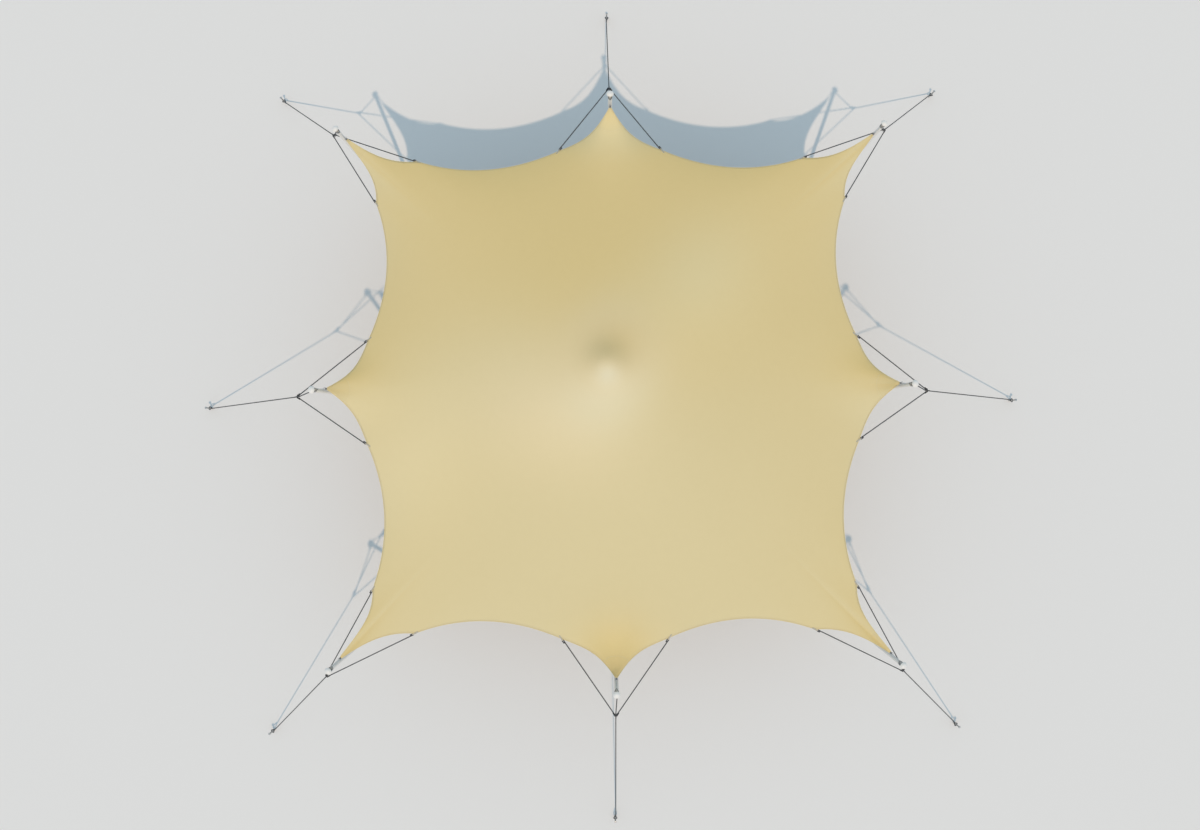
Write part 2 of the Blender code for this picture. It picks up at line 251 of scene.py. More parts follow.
def aim(point, direction):
    """A place whose own Z runs along a direction."""
    return Matrix.Translation(point) @ Vector(direction).to_track_quat("Z", "Y").to_matrix().to_4x4()


# %% [markdown]
# ## Turned pieces
# Tubes, caps, pegs and plates are round, so each is half an outline that is spun about its axis. Stacking
# cylinders would be quicker, but an outline can carry the small radii and steps that catch the light.

# %% Spinning an outline
TURN_STEPS = 40


def turn(bm, outline, place, steps=TURN_STEPS, coat=0):
    """Spin (radius, height) points about Z, close the poles, and put the result in its place."""
    part = new_mesh()
    lay = part.verts.layers.float_vector["lay"]
    verts = [part.verts.new((radius, 0.0, height)) for radius, height in outline]
    for low, high in zip(verts, verts[1:]):
        part.edges.new((low, high))
    bmesh.ops.spin(part, geom=part.verts[:] + part.edges[:], cent=(0, 0, 0), axis=(0, 0, 1),
                   angle=2 * math.pi, steps=steps, use_merge=True, use_duplicate=False)
    bmesh.ops.remove_doubles(part, verts=part.verts, dist=1e-5)
    bmesh.ops.recalc_face_normals(part, faces=part.faces)
    for vert in part.verts:
        around = Vector((vert.co.x, vert.co.y, 0.0)).normalized()
        vert[lay] = (around.x, around.y, vert.co.z)
    add(bm, part, place, coat)


def add(bm, part, place=Matrix.Identity(4), coat=0):
    """Carry a small bmesh to its place and into a larger one."""
    bmesh.ops.transform(part, matrix=place, verts=part.verts)
    for face in part.faces:
        face.material_index = coat
    scratch = bpy.data.meshes.new("scratch")
    part.to_mesh(scratch)
    part.free()
    bm.from_mesh(scratch)
    bpy.data.meshes.remove(scratch)


def rounded(radius, low, high, ease, steps=4):
    """Outline of a disc with eased rims, from its lower middle to its upper middle."""
    points = [(0.0, low)]
    for i in range(steps + 1):
        angle = math.pi / 2 * i / steps
        points.append((radius - ease + ease * math.sin(angle), low + ease - ease * math.cos(angle)))
    for i in range(steps + 1):
        angle = math.pi / 2 * i / steps
        points.append((radius - ease + ease * math.cos(angle), high - ease + ease * math.sin(angle)))
    points.append((0.0, high))
    return points


print("an eased disc has", len(rounded(1, 0, 1, 0.1)), "outline points")

# %% [markdown]
# ## Ropes and bands
# A rope is a round section that is drawn along a path, and webbing is a flat one. A curve object with a
# bevel would do it too, but it can't say where a point lies round and along the rope. Here a circle is
# extruded from stop to stop, and each vertex notes its place for the braid to follow.

# %% Drawing a section along a path
UP = Vector((0, 0, 1))


def stops(path, across=None, closed=False):
    """A placement at each point of a path, turned as little as possible from one to the next."""
    places = []
    turned = None
    last = len(path) - 1
    for index, point in enumerate(path):
        after = 0 if closed and index == last else min(index + 1, last)
        before = last if closed and index == 0 else max(index - 1, 0)
        ahead = (path[after] - path[before]).normalized()
        if across is not None:
            side = (across - ahead * across.dot(ahead)).normalized()
            turned = Matrix((side, ahead.cross(side), ahead)).transposed().to_quaternion()
        elif turned is None:
            turned = ahead.to_track_quat("Z", "Y")
        else:
            turned = (turned @ UP).rotation_difference(ahead) @ turned
        places.append(Matrix.Translation(point) @ turned.to_matrix().to_4x4())
    return places


def draw(bm, path, half_width, half_thick=None, sides=10, across=None, flat=1.0, closed=False, girth=None, coat=0):
    """Extrude a round or flattened section along a path, and give back the path's length."""
    half_thick = half_width if half_thick is None else half_thick
    lay = bm.verts.layers.float_vector["lay"]
    swell = [Matrix.Diagonal((g, g, 1.0, 1.0)) for g in (girth or [1.0] * len(path))]
    places = [place @ size for place, size in zip(stops(path, across, closed), swell)]
    first = bmesh.ops.create_circle(bm, cap_ends=not closed, segments=sides, radius=1.0)["verts"]
    made = {face for vert in first for face in vert.link_faces}
    for vert in first:
        vert[lay] = (vert.co.x, vert.co.y, 0.0)
        vert.co = [math.copysign(abs(n) ** flat, n) for n in vert.co]
    edges = start_edges = list({edge for vert in first for edge in vert.link_edges})
    bmesh.ops.transform(bm, matrix=places[0] @ Matrix.Diagonal((half_width, half_thick, 1.0, 1.0)), verts=first)
    run = 0.0
    for before, after, start, end in zip(places, places[1:], path, path[1:]):
        grown = bmesh.ops.extrude_edge_only(bm, edges=edges)["geom"]
        verts = {item for item in grown if isinstance(item, bmesh.types.BMVert)}
        edges = [item for item in grown if isinstance(item, bmesh.types.BMEdge) and verts.issuperset(item.verts)]
        made.update(item for item in grown if isinstance(item, bmesh.types.BMFace))
        bmesh.ops.transform(bm, matrix=after @ before.inverted(), verts=list(verts))
        run += (end - start).length
        for vert in verts:
            vert[lay] = (vert[lay].x, vert[lay].y, run)
    if closed:
        made.update(bmesh.ops.bridge_loops(bm, edges=start_edges + edges)["faces"])
    else:
        made.update(bmesh.ops.contextual_create(bm, geom=edges)["faces"])
    bmesh.ops.recalc_face_normals(bm, faces=list(made))
    for face in made:
        face.material_index = coat
    return run


def arc(centre, first, second, start, end, steps):
    """Points on a turn about a centre, in the plane of two directions that carry the radius."""
    angles = [start + (end - start) * i / steps for i in range(steps + 1)]
    return [centre + first * math.cos(angle) + second * math.sin(angle) for angle in angles]


def hoop(bm, centre, axis, radius, wire, around=40, section=14, coat=0):
    """A ring of round wire: a circle spun about an axis outside it."""
    part = new_mesh()
    upright = Matrix.Translation((radius, 0, 0)) @ Matrix.Rotation(math.pi / 2, 4, "X")
    bmesh.ops.create_circle(part, cap_ends=False, segments=section, radius=wire, matrix=upright)
    bmesh.ops.spin(part, geom=part.verts[:] + part.edges[:], cent=(0, 0, 0), axis=(0, 0, 1),
                   angle=2 * math.pi, steps=around, use_merge=True, use_duplicate=False)
    bmesh.ops.remove_doubles(part, verts=part.verts, dist=1e-5)
    bmesh.ops.recalc_face_normals(part, faces=part.faces)
    add(bm, part, aim(centre, axis), coat)


def oval(middle, along, beside, half_length, radius, steps=8):
    """Points of a closed link: two half turns joined by straight sides."""
    ends = ((1.0, -math.pi / 2), (-1.0, math.pi / 2))
    return [point for sign, start in ends
            for point in arc(middle + along * half_length * sign, along * radius, beside * radius,
                             start, start + math.pi, steps)]


print("sections can be drawn and spun")

# %% [markdown]
# ## Where everything stands
# The tent has four side stations and four corner stations. One side and one corner are written down, and
# the rest follow by mirroring, so a change to one value moves all eight alike.

# %% Stations
SIDES = {"back": (0, 1), "right": (1, 0), "front": (0, -1), "left": (-1, 0)}
CORNERS = {"back_right": (1, 1), "front_right": (1, -1), "front_left": (-1, -1), "back_left": (-1, 1)}
SHEET_SHIFT = Vector((0.0, 0.018, 0.0))
SIDE_TIP = Vector((0.0, 4.065, 2.94))
SIDE_GRIP = Vector((0.782, 3.619, 2.446))
CORNER_TIP = Vector((4.015, 3.885, 2.309))
CORNER_GRIP_BACK = Vector((2.952, 3.562, 2.236))
CORNER_GRIP_SIDE = Vector((3.580, 2.909, 2.232))
SIDE_POINTS = {"foot": (0.0, 2.86, 0.0), "cap": (0.0, 4.28, 3.0), "ring": (0.0, 4.826, 1.979),
               "stake": (0.0, 7.03, 0.0)}
CORNER_POINTS = {"foot": (3.165, 3.06, 0.0), "cap": (4.18, 4.05, 2.40), "ring": (4.477, 4.314, 1.498),
                 "stake": (5.83, 5.54, 0.0)}
KNUCKLE_HEIGHT = 0.045


def carried(signs, point):
    """A point of the back side or back right corner, carried to another station."""
    across, along = signs
    if across and along:
        return Vector((across * point[0], along * point[1], point[2]))
    if across:
        return Vector((across * point[1], point[0], point[2]))
    return Vector((point[0], along * point[1], point[2]))


def station(signs):
    """Every point that one station needs."""
    corner = bool(signs[0] and signs[1])
    points = {key: carried(signs, value) for key, value in (CORNER_POINTS if corner else SIDE_POINTS).items()}
    points["tip"] = carried(signs, CORNER_TIP if corner else SIDE_TIP)
    points["outward"] = Vector((points["tip"].x, points["tip"].y, 0.0)).normalized()
    points["tip"] += SHEET_SHIFT
    pair = (CORNER_GRIP_BACK, CORNER_GRIP_SIDE) if corner else (SIDE_GRIP, SIDE_GRIP * Vector((-1, 1, 1)))
    points["grips"] = [carried(signs, grip) + SHEET_SHIFT for grip in pair]
    points["across"] = UP.cross(points["outward"])
    points["knuckle"] = Vector((points["foot"].x, points["foot"].y, KNUCKLE_HEIGHT))
    points["lean"] = (points["cap"] - points["knuckle"]).normalized()
    down = (points["stake"] - points["ring"]).normalized()
    points["down"] = down
    points["ring_axis"] = points["across"].cross(down).normalized()
    return points


STATIONS = {name: station(signs) for name, signs in {**SIDES, **CORNERS}.items()}
print(len(STATIONS), "stations, stakes", round(2 * SIDE_POINTS["stake"][1], 2), "m apart")

# %% [markdown]
# ## The sheet's outline
# Between two guy points the edge sags in a shallow scallop. Round a tip it follows a curve with two
# handles, like a drawing program's pen: one handle at the tip sets how sharp it is, the other at the guy
# point lets it run on into the scallop. One quarter is drawn and mirrored.

# %% Outline of the sheet
TIP_HALF_WIDTH = 0.015
SIDE_FLARE = (0.371, 0.696, 0.361, 0.380)
CORNER_FLARE = (0.430, 0.163, 0.392, 0.710)
TIP_LIFT_POWER = 2.2
SCALLOP_DEPTH = 0.22
SCALLOP_RISE = 0.03
TIP_STEPS = 14
SCALLOP_STEPS = 26


def tip_curve(tip, grip, outward, flare):
    """Edge from a tip's blunt end to just short of its guy point."""
    across = Vector((outward.y, -outward.x, 0.0))
    if grip.dot(across) < 0:
        across = -across
    tip_reach, tip_angle, grip_reach, grip_angle = flare
    start = outward * tip.dot(outward) + across * TIP_HALF_WIDTH
    end = outward * grip.dot(outward) + across * grip.dot(across)
    near_tip = start + (across * math.sin(tip_angle) - outward * math.cos(tip_angle)) * tip_reach
    near_grip = end + (outward * math.sin(grip_angle) - across * math.cos(grip_angle)) * grip_reach
    points = []
    for i in range(TIP_STEPS):
        share = i / TIP_STEPS
        left = 1.0 - share
        point = start * left ** 3 + near_tip * 3 * left ** 2 * share + near_grip * 3 * left * share ** 2
        point += end * share ** 3
        point.z = grip.z + (tip.z - grip.z) * left ** TIP_LIFT_POWER
        points.append(point)
    return points


def side_run(corner_grip):
    """Edge from a side tip to a corner's guy point, that point left out."""
    points = tip_curve(SIDE_TIP, SIDE_GRIP, Vector((0, 1, 0)), SIDE_FLARE)
    for i in range(SCALLOP_STEPS):
        share = i / SCALLOP_STEPS
        bow = 4.0 * share * (1.0 - share)
        points.append(SIDE_GRIP.lerp(corner_grip, share) + Vector((0, -SCALLOP_DEPTH, SCALLOP_RISE)) * bow)
    return points


def corner_run(grip):
    """Edge from the corner's blunt end to its guy point, both ends kept."""
    outward = Vector((CORNER_TIP.x, CORNER_TIP.y, 0)).normalized()
    return tip_curve(CORNER_TIP, grip, outward, CORNER_FLARE) + [grip.copy()]


def outline():
    """The whole edge, clockwise from the back tip."""
    swap = Matrix(((0, 1, 0), (1, 0, 0), (0, 0, 1)))
    quarter = side_run(CORNER_GRIP_BACK) + corner_run(CORNER_GRIP_BACK)[::-1]
    quarter += corner_run(CORNER_GRIP_SIDE)
    quarter += [swap @ point for point in side_run(swap @ CORNER_GRIP_SIDE)[::-1]]
    edge = list(quarter)
    edge += [point * Vector((1, -1, 1)) for point in quarter[::-1]]
    edge += [point * Vector((-1, -1, 1)) for point in quarter]
    edge += [point * Vector((-1, 1, 1)) for point in quarter[::-1]]
    return [point + SHEET_SHIFT for point in edge]


EDGE = outline()
EDGE_LENGTH = sum((a - b).length for a, b in zip(EDGE, EDGE[1:] + EDGE[:1]))
print(len(EDGE), "points on an edge of", round(EDGE_LENGTH, 2), "m")

# %% [markdown]
# ## The sheet's rise
# Cloth that hangs from one pole and is pulled evenly all round takes the shape of a soap film: it falls
# fast by the pole and ever slower further out, as a logarithm does. Near the rim that shape fades into
# the true height of the edge. A cloth simulation would find the same film, but only as well as its
# settings, and not twice alike, so the film is written as a sum.

# %% Height of the sheet
PEAK = Vector((-0.095, 0.205, 4.00))
PEAK_ROUNDING = 1.98
PEAK_STRENGTH = 1.72
BUTTON_DROP = 0.175
BUTTON_RADIUS = 0.262
RIM_FADE = 8.0
HOOP_FADE = 3.0
HOOP_SHARE = 0.48
ROUND_SHARE = 0.06
ROUND_REACH = 4.0


def film_drop(radius):
    """How far the film has fallen at a distance from the peak."""
    button = BUTTON_DROP * (1.0 - math.exp(-(radius / BUTTON_RADIUS) ** 2))
    return -PEAK_STRENGTH * math.log(math.hypot(radius, PEAK_ROUNDING) / PEAK_ROUNDING) - button


BEARINGS = [math.atan2(point.y - PEAK.y, point.x - PEAK.x) for point in EDGE]
REACHES = [(point.xy - PEAK.xy).length for point in EDGE]
MISSING = [point.z - PEAK.z - film_drop(reach) for point, reach in zip(EDGE, REACHES)]
SPANS = [abs(math.remainder(BEARINGS[i - 1] - BEARINGS[(i + 1) % len(EDGE)], 2 * math.pi)) for i in range(len(EDGE))]


def hoop_pull(bearing, out):
    """The missing height of the rim as a skin on a bent hoop feels it at a share of the way out."""
    near = [span / (1.0 - 2.0 * out * math.cos(bearing - other) + out * out) for span, other in zip(SPANS, BEARINGS)]
    return sum(weight * height for weight, height in zip(near, MISSING)) / sum(near)


def on_sheet(index, share):
    """Point on the sheet's top, from the peak at 0 towards a point of the edge at 1."""
    flat = Vector((EDGE[index].x - PEAK.x, EDGE[index].y - PEAK.y, 0.0))
    reach = REACHES[index]
    blend = max(0.0, (share - ROUND_SHARE) / (1.0 - ROUND_SHARE))
    radius = share * (ROUND_REACH * (1.0 - blend) + reach * blend)
    point = PEAK + flat * (radius / reach)
    out = radius / reach
    hooped = HOOP_SHARE * math.cos(2.0 * BEARINGS[index]) ** 2
    point.z += film_drop(radius) + hooped * hoop_pull(BEARINGS[index], out) * out ** HOOP_FADE
    point.z += (1.0 - hooped) * MISSING[index] * out ** RIM_FADE
    return point


for metres in (0.5, 1.0, 2.0, 4.0):
    print("film at", metres, "m is", round(PEAK.z + film_drop(metres), 2), "m up")

# %% [markdown]
# ## The cloth itself
# The real sheet is a knitted polyester with an elastic yarn, coated on the back: matt, a little sheen at
# grazing angles, and a fine rib. Painted light and shade lie in its colour: it is painted paler where it
# faces the light and darker where it faces away, with painted highlights and shade in broad patches. The
# hem and the tips are doubled and sewn in two rows. The mesh keeps how far each point lies from the edge,
# so the seams follow the edge.

# %% Cloth finish
HEM_WIDTH = 0.040
STITCH_ROWS = (0.008, 0.034)
STITCH_PITCH = 0.011
RIB_PITCH = 0.0032
PATCH_REACH = 0.34
# Painted light: the cloth's colour goes from a painted shade tone where it faces away from the light to a painted
# sunlit tone where it faces it, over a soft step in the normal.
PAINTED_SHADE_TONE = (0.893, 0.667, 0.282)
PAINTED_SUNLIT_TONE = (0.726, 0.636, 0.374)
PAINTED_LIGHT_SLOPE = (0.110, 0.668)
BACK_TONE = (0.34, 0.32, 0.27)
# Each patch of painted highlight and shade: its centre, its reach both ways, its turn and its colour.
PAINTED_LIGHT_SPOTS = (
    ((-2.86, -0.97), (1.70, 0.91), 0.86, (0.831, 0.707, 0.409)),
    ((-0.91, -0.35), (1.09, 0.87), -0.25, (0.830, 0.708, 0.434)),
    ((-0.04, 0.21), (0.53, 0.72), -0.48, (0.872, 0.846, 0.650)),
    ((0.00, 0.45), (0.75, 0.57), 0.50, (0.778, 0.606, 0.303)),
    ((1.26, 1.43), (0.77, 1.12), -0.68, (0.865, 0.713, 0.385)),
    ((-0.09, 0.04), (0.17, 0.16), 0.0, (0.800, 0.735, 0.520)),
    ((0.00, 3.95), (0.60, 0.42), 0.0, (0.785, 0.680, 0.383)),
    ((0.00, -3.90), (0.55, 0.45), 0.0, (0.860, 0.675, 0.312)),
    ((0.00, -4.03), (0.28, 0.20), 0.0, (0.960, 0.700, 0.320)),
)


def cloth_finish():
    """Sand coloured knit with painted light and shade (paler where it faces the light, painted highlights and shade in
    patches), and doubled, sewn hems and tips.
    """
    cloth = Finish("sand_stretch_cloth", (0.76, 0.64, 0.33), 0.82)
    place = cloth.place()
    x, y = (cloth.node("ShaderNodeSeparateXYZ", None, {0: place}, axis) for axis in "XY")
    from_edge, along_edge, from_tip = cloth.mark("cut")
    facing_x, facing_y, facing_up = cloth.mark("facing")
    # Painted light and shade: paler where the cloth faces the light, darker where it faces away.
    tone = cloth.mix(facing_y.below(*PAINTED_LIGHT_SLOPE), colour(*PAINTED_SHADE_TONE), colour(*PAINTED_SUNLIT_TONE))
    # Painted highlights and shade laid over the cloth in patches, such as the painted highlight in front of the peak
    # and the painted tone at the tips.
    for centre, reach, turn, painted_light_tone in PAINTED_LIGHT_SPOTS:
        tone = cloth.mix(cloth.spot(x, y, centre, reach, turn), tone, colour(*painted_light_tone))
    clouded = cloth.noise(place, 0.7, 3.0)
    flecked = cloth.noise(place, 9.0, 5.0, 0.65)
    tone = cloth.mix(clouded * 0.5, tone, colour(0.965, 0.960, 0.945), "MULTIPLY")
    tone = cloth.mix(flecked * 0.4, tone, colour(0.94, 0.935, 0.91), "MULTIPLY")
    doubled = 1.0 - (1.0 - from_edge.below(HEM_WIDTH, 0.001)) * (1.0 - from_tip.below(PATCH_REACH, 0.002))
    tone = cloth.mix(doubled * 0.15, tone, colour(0.90, 0.89, 0.85), "MULTIPLY")
    dash = (along_edge * (2 * math.pi / STITCH_PITCH)).sine().below(0.35, 0.15)
    rows = abs(from_edge - STITCH_ROWS[0]).below(0.0016, 0.0006)
    for distance, seam in ((STITCH_ROWS[1], from_edge), (PATCH_REACH - 0.008, from_tip)):
        rows = rows + abs(seam - distance).below(0.0016, 0.0006)
    tone = cloth.mix(rows * dash * 0.7, tone, colour(0.83, 0.76, 0.58))
    cloth.plug(cloth.skin["Base Color"], tone)
    cloth.plug(cloth.skin["Roughness"], 0.78 + flecked * 0.12)
    cloth.skin["Sheen Weight"].default_value = 0.12
    cloth.skin["Sheen Roughness"].default_value = 0.45
    rib = (x * (2 * math.pi / RIB_PITCH)).sine() * (y * (2 * math.pi / RIB_PITCH)).sine()
    weave = cloth.relief(rib, 0.00018)
    puckers = cloth.relief(doubled * 0.6 - rows * 0.8, 0.0012, weave)
    cloth.plug(cloth.skin["Normal"], puckers)
    return cloth.material


def coating_finish():
    """Dull grey coating on the back of the knit, a little mottled where it has been folded."""
    coating = Finish("grey_back_coating", BACK_TONE, 0.70)
    place = coating.place()
    mottled = coating.noise(place, 3.0, 4.0, 0.6)
    coating.plug(coating.skin["Base Color"],
                 coating.mix(mottled * 0.5, colour(*BACK_TONE), colour(0.90, 0.89, 0.87), "MULTIPLY"))
    coating.plug(coating.skin["Roughness"], 0.62 + mottled * 0.16)
    return coating.material


SAND_CLOTH = cloth_finish()
BACK_COATING = coating_finish()
print("cloth finish has", len(SAND_CLOTH.node_tree.nodes), "nodes")

# %% [markdown]
# ## Growing the sheet
# The sheet starts as its outline. The outline is extruded inwards ring by ring, each ring moved to its
# height, and the last ring is merged into the peak. That keeps one continuous skin whose rows run with
# the pull of the cloth. A Solidify modifier then gives it the thickness of real cloth.

# %% The canopy
CLOTH_THICK = 0.003
RING_SHARES = [0.004, 0.009, 0.015, 0.021, 0.028, 0.036, 0.046, 0.058, 0.072, 0.090, 0.112]
RING_SHARES += [0.14 + 0.82 * i / 30 for i in range(31)] + [0.978, 0.991, 1.0]


def nearest_tip(point):
    return min((point - spot["tip"]).length for spot in STATIONS.values())


def grow_canopy():
    """The sheet as rings from its edge to its peak."""
    bm = bmesh.new()
    cut = bm.verts.layers.float_vector.new("cut")
    ring = [bm.verts.new(point) for point in EDGE]
    edges = [bm.edges.new(pair) for pair in zip(ring, ring[1:] + ring[:1])]
    run = 0.0
    for index, vert in enumerate(ring):
        vert[cut] = (0.0, run, nearest_tip(vert.co))
        run += (EDGE[(index + 1) % len(EDGE)] - EDGE[index]).length
    for share in RING_SHARES[-2::-1]:
        grown = bmesh.ops.extrude_edge_only(bm, edges=edges)["geom"]
        fresh = [item for item in grown if isinstance(item, bmesh.types.BMVert)]
        inside = set(fresh)
        edges = [item for item in grown if isinstance(item, bmesh.types.BMEdge) and inside.issuperset(item.verts)]
        for index, vert in enumerate(fresh):
            along = vert[cut].y
            vert.co = on_sheet(index, share)
            vert[cut] = ((EDGE[index] - vert.co).length, along, nearest_tip(vert.co))
    bmesh.ops.pointmerge(bm, verts=fresh, merge_co=PEAK)
    bmesh.ops.recalc_face_normals(bm, faces=bm.faces)
    if sum(face.normal.z for face in bm.faces) < 0:
        bmesh.ops.reverse_faces(bm, faces=bm.faces)
    bm.normal_update()
    # The normals are kept so that the cloth's colour can be painted paler where it faces the light.
    facing = bm.verts.layers.float_vector.new("facing")
    for vert in bm.verts:
        vert[facing] = vert.normal
    return bm


sheet_mesh = grow_canopy()
CLOTH_TREE = BVHTree.FromBMesh(sheet_mesh)
canopy = settle("canopy_cloth", sheet_mesh, [SAND_CLOTH, BACK_COATING], "canopy", "canopy", sharp=math.pi)
thickness = canopy.modifiers.new("cloth", "SOLIDIFY")
thickness.thickness = CLOTH_THICK
thickness.offset = -1.0
thickness.material_offset = 1
print("canopy has", len(canopy.data.polygons), "faces")

# %% [markdown]
# ## Finishes for tube, steel, rope and webbing
# Each small material has one habit worth showing. Drawn tube has fine lines along it, braided rope has
# crossing strands, webbing has close ribs and pale stitches, and cast or forged steel is mottled. The
# braid and the ribs read the place that each vertex noted, so they follow every bend.

# %% Finishes of the fittings
WAVE = 2 * math.pi


def around(finish, x, y, strands):
    """The angle round a section, times the number of strands."""
    return finish.node("ShaderNodeMath", {"operation": "ARCTAN2"}, {0: y, 1: x}) * strands


def braid_finish(name, dark, light, pitch, strands):
    """Rope braid: two sets of strands that cross as they wind along."""
    braid = Finish(name, dark, 0.85)
    x, y, run = braid.mark("lay")
    turned = around(braid, x, y, strands)
    left = (turned + run * (WAVE / pitch)).sine()
    right = (turned - run * (WAVE / pitch)).sine()
    plait = left * right * 0.5 + 0.5
    worn = braid.noise(braid.place(), 60.0, 4.0)
    braid.plug(braid.skin["Base Color"], braid.mix(plait * worn * 1.5, colour(*dark), colour(*light)))
    braid.plug(braid.skin["Roughness"], 0.92 - plait * 0.2)
    braid.plug(braid.skin["Normal"], braid.relief(plait, 0.0012))
    return braid.material


def webbing_finish(name, dark, light, thread):
    """Flat woven band with close ribs across it and a row of stitches along each side."""
    band = Finish(name, dark, 0.8)
    x, y, run = band.mark("lay")
    rib = (run * (WAVE / 0.0032)).sine() * 0.5 + 0.5
    worn = band.noise(band.place(), 45.0, 4.0)
    tone = band.mix(rib * worn, colour(*dark), colour(*light))
    stitches = abs(abs(x) - 0.74).below(0.05, 0.02) * (run * (WAVE / 0.008)).sine().below(0.4, 0.2)
    band.plug(band.skin["Base Color"], band.mix(stitches * 0.8, tone, colour(*thread)))
    band.plug(band.skin["Roughness"], 0.86 - rib * 0.12)
    band.plug(band.skin["Normal"], band.relief(rib * 0.5 + stitches, 0.0006))
    return band.material


def tube_finish(name, pale, grey, metallic, roughness):
    """Drawn tube: hair lines along it, faint clouding and dull scuffs."""
    tube = Finish(name, pale, roughness, metallic)
    x, y, run = tube.mark("lay")
    lines = tube.node("ShaderNodeCombineXYZ", None, {0: x * 40.0, 1: y * 40.0, 2: run * 1.5})
    hair = tube.noise(lines, 2.0, 4.0, 0.7)
    cloud = tube.noise(tube.place(), 7.0, 3.0)
    scuff = (1.0 - tube.noise(tube.place(), 34.0, 5.0, 0.7).below(0.60, 0.05)) * 0.5
    tone = tube.mix(cloud * 0.5 + scuff * 0.5, colour(*pale), colour(*grey))
    tube.plug(tube.skin["Base Color"], tone)
    tube.plug(tube.skin["Roughness"], hair * 0.18 + scuff * 0.2 + (roughness - 0.08))
    tube.plug(tube.skin["Normal"], tube.relief(hair, 0.00012))
    return tube.material


def steel_finish(name, bright, dull, metallic, roughness, grain):
    """Forged or zinc-coated steel: mottled, with tiny pits."""
    steel = Finish(name, bright, roughness, metallic)
    place = steel.place()
    mottle = steel.noise(place, grain, 4.0, 0.6)
    pits = steel.noise(place, grain * 6.0, 3.0)
    steel.plug(steel.skin["Base Color"], steel.mix(mottle, colour(*bright), colour(*dull)))
    steel.plug(steel.skin["Roughness"], mottle * 0.25 + (roughness - 0.1))
    steel.plug(steel.skin["Normal"], steel.relief(pits, 0.0003))
    return steel.material


def moulded_finish(name, clean, dusty, roughness, grain):
    """Moulded plastic: a fine grain, with dust lying in broad patches."""
    shell = Finish(name, clean, roughness)
    place = shell.place()
    dust = shell.noise(place, 18.0, 4.0, 0.6)
    shell.plug(shell.skin["Base Color"], shell.mix(dust * 0.6, colour(*clean), colour(*dusty)))
    shell.plug(shell.skin["Roughness"], dust * 0.2 + (roughness - 0.1))
    shell.plug(shell.skin["Normal"], shell.relief(shell.noise(place, grain, 2.0), 0.0002))
    return shell.material


ROPE = braid_finish("dark_grey_braid", (0.050, 0.053, 0.058), (0.130, 0.136, 0.145), 0.018, 4.0)
TWINE = braid_finish("whipping_twine", (0.030, 0.031, 0.034), (0.085, 0.088, 0.092), 0.0042, 1.0)
WEBBING = webbing_finish("grey_webbing", (0.15, 0.155, 0.16), (0.27, 0.275, 0.28), (0.50, 0.50, 0.48))
TAB_WEBBING = webbing_finish("sand_webbing", (0.44, 0.41, 0.34), (0.62, 0.58, 0.47), (0.75, 0.72, 0.62))
TUBE = tube_finish("anodised_tube", (0.80, 0.795, 0.775), (0.62, 0.62, 0.61), 0.35, 0.38)
STEEL = steel_finish("zinc_plated_steel", (0.62, 0.63, 0.64), (0.38, 0.39, 0.40), 0.9, 0.36, 60.0)
PLATE = steel_finish("grey_foot_plate", (0.42, 0.43, 0.44), (0.30, 0.31, 0.32), 0.4, 0.50, 35.0)
STAKE_STEEL = steel_finish("galvanised_stake_steel", (0.62, 0.63, 0.64), (0.42, 0.42, 0.41), 0.8, 0.45, 70.0)
CAP_WHITE = moulded_finish("white_moulded_cap", (0.86, 0.86, 0.85), (0.74, 0.74, 0.71), 0.42, 900.0)
HEAD_GREY = moulded_finish("grey_moulded_head", (0.30, 0.28, 0.25), (0.38, 0.36, 0.32), 0.55, 700.0)
print(len(bpy.data.materials), "finishes")

# %% [markdown]
# ## The hem cord
# The real edge is folded round a cord, which keeps it from stretching between the guys. The cord's fold
# shows as a round welt. It could be a bevelled curve, but the drawn section can close on itself with a
# bridge between its last and first rings, so that no seam is left.

# %% Hem
HEM_RADIUS = 0.0042


def hem_finish():
    """The folded cloth of the hem, with a slanting rib."""
    hem = Finish("sand_hem", (0.66, 0.53, 0.27), 0.8)
    x, y, run = hem.mark("lay")
    slant = (around(hem, x, y, 3.0) + run * (WAVE / 0.009)).sine() * 0.5 + 0.5
    faded = hem.noise(hem.place(), 3.0, 4.0)
    hem.plug(hem.skin["Base Color"], hem.mix(slant * faded, colour(0.80, 0.67, 0.37), colour(0.74, 0.61, 0.32)))
    hem.plug(hem.skin["Roughness"], 0.70 + slant * 0.14)
    hem.plug(hem.skin["Normal"], hem.relief(slant, 0.0005))
    return hem.material


hem_mesh = new_mesh()
hem_path = [point - UP * (CLOTH_THICK / 2) for point in EDGE]
draw(hem_mesh, hem_path, HEM_RADIUS, sides=10, across=UP, closed=True)
canopy_hem = settle("canopy_hem", hem_mesh, [hem_finish()], "canopy", "canopy")
print("hem has", len(canopy_hem.data.polygons), "faces")

# %% [markdown]
# ## Leaning poles
# A perimeter pole is two lengths of tube with a swaged joint. It stands in a ball knuckle on a round
# plate, so it can lean at any angle. The tube, the ball and the plate are each spun from an outline, and
# the four bolts of the plate are six-sided cones with eased edges.

# %% Poles
POLE_RADIUS = 0.030
CAP_SET_BACK = 0.025
BALL_RADIUS = 0.042
PLATE_RADIUS = 0.100
PLATE_THICK = 0.010
JOINT_SHARE = 0.48
JOINT_LENGTH = 0.15


def sphere_outline(radius, low=-80, high=90, steps=14):
    """Half outline of a ball between two latitudes."""
    angles = [math.radians(low + (high - low) * i / steps) for i in range(steps + 1)]
    return [(radius * math.cos(angle), radius * math.sin(angle)) for angle in angles]


